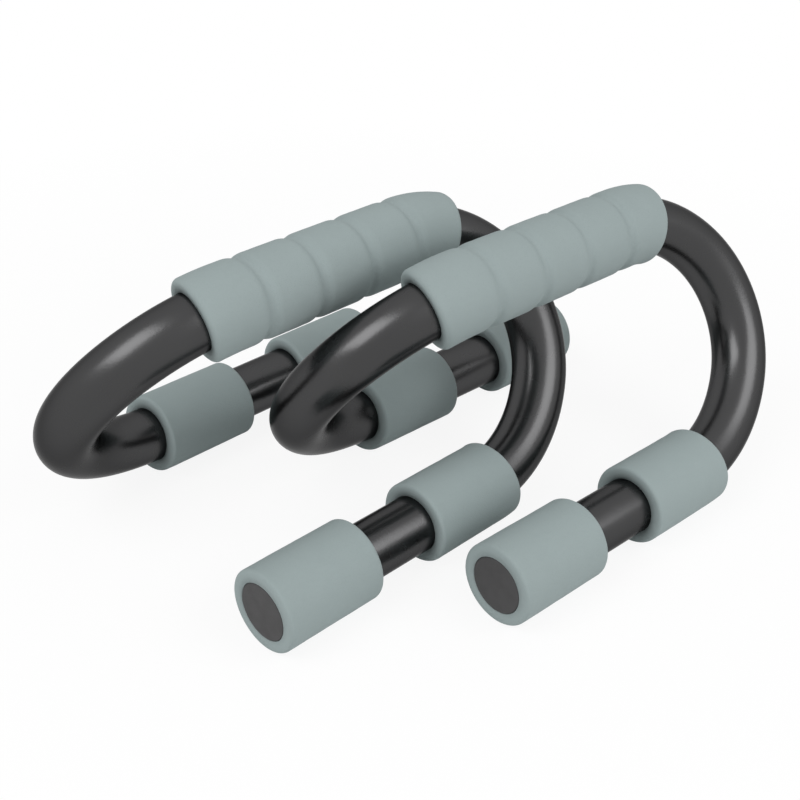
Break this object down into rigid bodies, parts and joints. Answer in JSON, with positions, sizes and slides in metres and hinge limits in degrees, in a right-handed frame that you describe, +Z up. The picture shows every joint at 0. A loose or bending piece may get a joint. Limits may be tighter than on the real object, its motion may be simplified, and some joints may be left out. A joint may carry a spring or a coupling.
{
  "type": "pair of push-up bars",
  "caption": "Pair of push-up bars hooked into one another: bent steel tubes with a lobed foam grip on the handle, foam feet on the floor legs and plugs in the open ends.",
  "frame": {"origin": "on the floor, in the middle of the box round the pair", "axes": "+Z is up; the handles run along Y, the first bar's plug face that is nearest the camera looks along -Y; X crosses the handles and the second bar is on the +X side"},
  "size_m": [0.2168, 0.3123, 0.129],
  "materials": {
    "tube": "glossy charcoal-black coating on bent steel tube",
    "grip_foam": "matt grey-green closed-cell foam, fine pores",
    "foot_foam": "matt grey-green closed-cell foam, fine pores",
    "plug": "dark grey moulded plastic with a fine grain"
  },
  "bodies": {
    "root": {"left_tube": "tube", "left_grip": "grip_foam", "left_leg_a_bend_foot": "foot_foam", "left_leg_a_end_foot": "foot_foam", "left_leg_a_plug": "plug", "left_leg_b_bend_foot": "foot_foam", "left_leg_b_end_foot": "foot_foam", "left_leg_b_plug": "plug", "right_tube": "tube", "right_grip": "grip_foam", "right_leg_a_bend_foot": "foot_foam", "right_leg_a_end_foot": "foot_foam", "right_leg_a_plug": "plug", "right_leg_b_bend_foot": "foot_foam", "right_leg_b_end_foot": "foot_foam", "right_leg_b_plug": "plug"}
  },
  "joints": []
}
